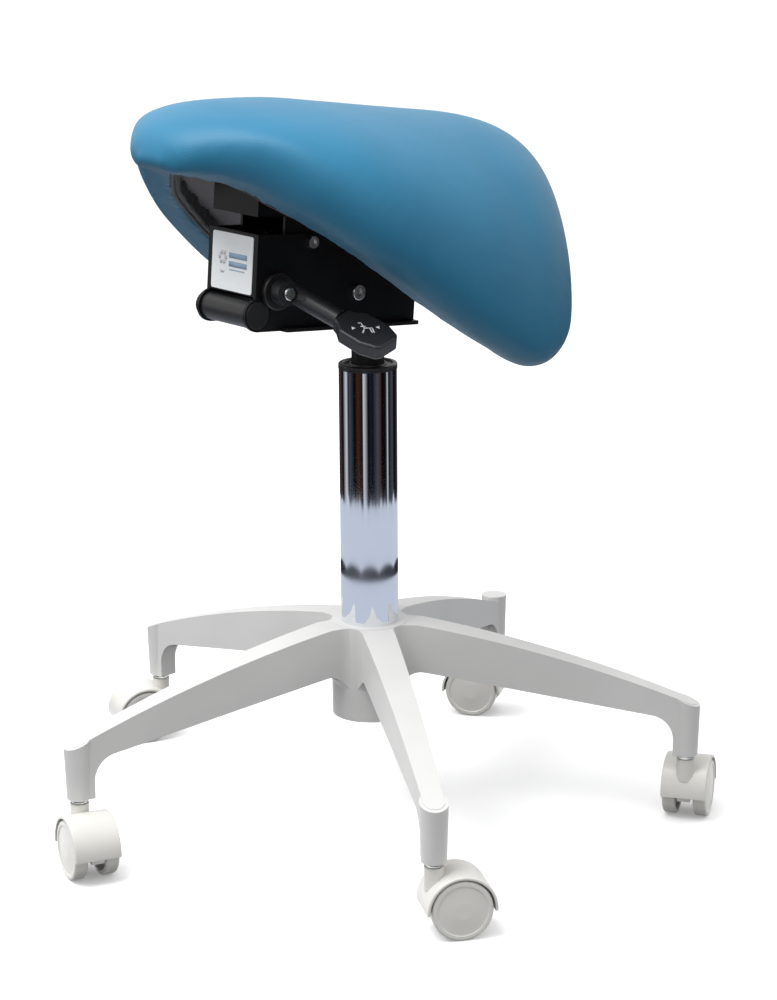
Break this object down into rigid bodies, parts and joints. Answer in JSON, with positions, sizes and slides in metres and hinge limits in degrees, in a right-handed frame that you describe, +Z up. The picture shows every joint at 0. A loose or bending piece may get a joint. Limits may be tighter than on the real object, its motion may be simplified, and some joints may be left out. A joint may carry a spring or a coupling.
{
  "type": "saddle stool",
  "caption": "Dental saddle stool with a teal vinyl saddle seat, tilt mechanism with levers, chrome gas-lift column and a light grey star base on twin-wheel casters.",
  "frame": {"origin": "on the floor, on the column's axis", "axes": "+Z up along the column; the seat's nose points along -Y and the sitter's left hand is at +X"},
  "size_m": [0.5904, 0.5758, 0.636],
  "materials": {
    "vinyl": "teal-blue upholstery vinyl, soft satin sheen",
    "black_binding": "black piping cord",
    "pan_plastic": "dark grey moulded seat pan",
    "black_steel": "black powder coat",
    "steel": "zinc-plated steel",
    "chrome": "polished chrome plate",
    "black_plastic": "black moulded plastic",
    "lever_plastic": "charcoal glass-filled nylon",
    "nylon_inner": "natural acetal bearing plastic",
    "rubber": "black rubber",
    "base_nylon": "light grey glass-filled nylon, satin",
    "caster_plastic": "off-white moulded nylon",
    "wheel_plastic": "off-white moulded nylon wheel",
    "label": "white plastic badge"
  },
  "bodies": {
    "base": {"star_base": "base_nylon", "column_tube": "chrome", "column_guide_sleeve": "nylon_inner", "column_cap_ring": "black_plastic", "thrust_race_lower": "steel", "thrust_balls": "steel", "caster_stems": "steel"},
    "piston": {"piston_rod": "steel", "thrust_race_upper": "steel", "rubber_buffer": "rubber", "retaining_clip": "steel"},
    "lift": {"gas_cylinder": "black_steel", "cone_socket": "black_steel", "brake_sector": "steel"},
    "release_pin": {"release_pin": "steel"},
    "height_lever": {"height_lever_shaft": "steel", "release_rocker": "black_steel", "height_lever_arm": "lever_plastic", "height_lever_paddle": "lever_plastic"},
    "seat": {"tilt_case": "black_steel", "bottom_plate": "black_steel", "seat_bracket": "black_steel", "bracket_bolts": "steel", "pivot_bolt": "steel", "lever_bush": "nylon_inner", "cross_tube": "black_plastic", "lever_collar": "black_plastic", "brake_sleeves": "steel", "label_plate": "label", "seat_bolts": "steel", "seat_pan": "pan_plastic", "seat_cushion": "vinyl", "edge_binding": "black_binding"},
    "tilt_lever": {"clamp_bolt": "steel", "tilt_lever_arm": "lever_plastic", "tilt_lever_paddle": "lever_plastic"},
    "tension_knob": {"tension_knob": "black_plastic"},
    "caster_1": {"caster_hood_1": "caster_plastic", "caster_axle_1": "steel"},
    "wheel_left_1": {"caster_wheel_left_1": "wheel_plastic"},
    "wheel_right_1": {"caster_wheel_right_1": "wheel_plastic"},
    "caster_2": {"caster_hood_2": "caster_plastic", "caster_axle_2": "steel"},
    "wheel_left_2": {"caster_wheel_left_2": "wheel_plastic"},
    "wheel_right_2": {"caster_wheel_right_2": "wheel_plastic"},
    "caster_3": {"caster_hood_3": "caster_plastic", "caster_axle_3": "steel"},
    "wheel_left_3": {"caster_wheel_left_3": "wheel_plastic"},
    "wheel_right_3": {"caster_wheel_right_3": "wheel_plastic"},
    "caster_4": {"caster_hood_4": "caster_plastic", "caster_axle_4": "steel"},
    "wheel_left_4": {"caster_wheel_left_4": "wheel_plastic"},
    "wheel_right_4": {"caster_wheel_right_4": "wheel_plastic"},
    "caster_5": {"caster_hood_5": "caster_plastic", "caster_axle_5": "steel"},
    "wheel_left_5": {"caster_wheel_left_5": "wheel_plastic"},
    "wheel_right_5": {"caster_wheel_right_5": "wheel_plastic"}
  },
  "joints": [
    {"name": "seat_swivel", "type": "hinge", "parent": "base", "child": "piston", "pos_m": [0, 0, 0.09], "axis": [0, 0, 1], "continuous": true},
    {"name": "seat_lift", "type": "slide", "parent": "piston", "child": "lift", "axis": [0, 0, 1], "range_m": [0, 0.19]},
    {"name": "release_pin_press", "type": "slide", "parent": "lift", "child": "release_pin", "axis": [0, 0, -1], "range_m": [0, 0.0031]},
    {"name": "height_lever_pull", "type": "hinge", "parent": "lift", "child": "height_lever", "pos_m": [0, -0.038, 0.474], "axis": [1, 0, 0], "range_deg": [-4.5, 0], "stiffness_Nm_per_rad": 3, "springref_deg": 2.86},
    {"name": "seat_tilt", "type": "hinge", "parent": "lift", "child": "seat", "pos_m": [0, -0.038, 0.474], "axis": [1, 0, 0], "range_deg": [0, 17]},
    {"name": "tilt_lever_turn", "type": "hinge", "parent": "seat", "child": "tilt_lever", "pos_m": [0, -0.12185, 0.48541], "axis": [1, 0, 0], "range_deg": [-10, 20]},
    {"name": "tension_knob_turn", "type": "hinge", "parent": "seat", "child": "tension_knob", "pos_m": [0, -0.13989, 0.46733], "axis": [1, 0, 0], "continuous": true},
    {"name": "caster_swivel_1", "type": "hinge", "parent": "base", "child": "caster_1", "pos_m": [-0.05285, -0.27191, 0.045], "axis": [0, 0, 1], "continuous": true},
    {"name": "wheel_left_spin_1", "type": "hinge", "parent": "caster_1", "child": "wheel_left_1", "pos_m": [-0.0345, -0.27683, 0.025], "axis": [0.2588, 0.9659, 0], "continuous": true},
    {"name": "wheel_right_spin_1", "type": "hinge", "parent": "caster_1", "child": "wheel_right_1", "pos_m": [-0.0345, -0.27683, 0.025], "axis": [0.2588, 0.9659, 0], "continuous": true},
    {"name": "caster_swivel_2", "type": "hinge", "parent": "base", "child": "caster_2", "pos_m": [0.24227, -0.13429, 0.045], "axis": [0, 0, 1], "continuous": true},
    {"name": "wheel_left_spin_2", "type": "hinge", "parent": "caster_2", "child": "wheel_left_2", "pos_m": [0.25089, -0.11736, 0.025], "axis": [-0.891, 0.454, 0], "continuous": true},
    {"name": "wheel_right_spin_2", "type": "hinge", "parent": "caster_2", "child": "wheel_right_2", "pos_m": [0.25089, -0.11736, 0.025], "axis": [-0.891, 0.454, 0], "continuous": true},
    {"name": "caster_swivel_3", "type": "hinge", "parent": "base", "child": "caster_3", "pos_m": [0.20258, 0.18891, 0.045], "axis": [0, 0, 1], "continuous": true},
    {"name": "wheel_left_spin_3", "type": "hinge", "parent": "caster_3", "child": "wheel_left_3", "pos_m": [0.19196, 0.20467, 0.025], "axis": [-0.829, -0.5592, 0], "continuous": true},
    {"name": "wheel_right_spin_3", "type": "hinge", "parent": "caster_3", "child": "wheel_right_3", "pos_m": [0.19196, 0.20467, 0.025], "axis": [-0.829, -0.5592, 0], "continuous": true},
    {"name": "caster_swivel_4", "type": "hinge", "parent": "base", "child": "caster_4", "pos_m": [-0.11707, 0.25105, 0.045], "axis": [0, 0, 1], "continuous": true},
    {"name": "wheel_left_spin_4", "type": "hinge", "parent": "caster_4", "child": "wheel_left_4", "pos_m": [-0.13244, 0.23988, 0.025], "axis": [0.5878, -0.809, 0], "continuous": true},
    {"name": "wheel_right_spin_4", "type": "hinge", "parent": "caster_4", "child": "wheel_right_4", "pos_m": [-0.13244, 0.23988, 0.025], "axis": [0.5878, -0.809, 0], "continuous": true},
    {"name": "caster_swivel_5", "type": "hinge", "parent": "base", "child": "caster_5", "pos_m": [-0.27493, -0.03376, 0.045], "axis": [0, 0, 1], "continuous": true},
    {"name": "wheel_left_spin_5", "type": "hinge", "parent": "caster_5", "child": "wheel_left_5", "pos_m": [-0.28112, -0.05172, 0.025], "axis": [0.9455, -0.3256, 0], "continuous": true},
    {"name": "wheel_right_spin_5", "type": "hinge", "parent": "caster_5", "child": "wheel_right_5", "pos_m": [-0.28112, -0.05172, 0.025], "axis": [0.9455, -0.3256, 0], "continuous": true}
  ],
  "couplings": [
    {"joint": "release_pin_press", "follows": "height_lever_pull", "m_per_rad": -0.038}
  ]
}
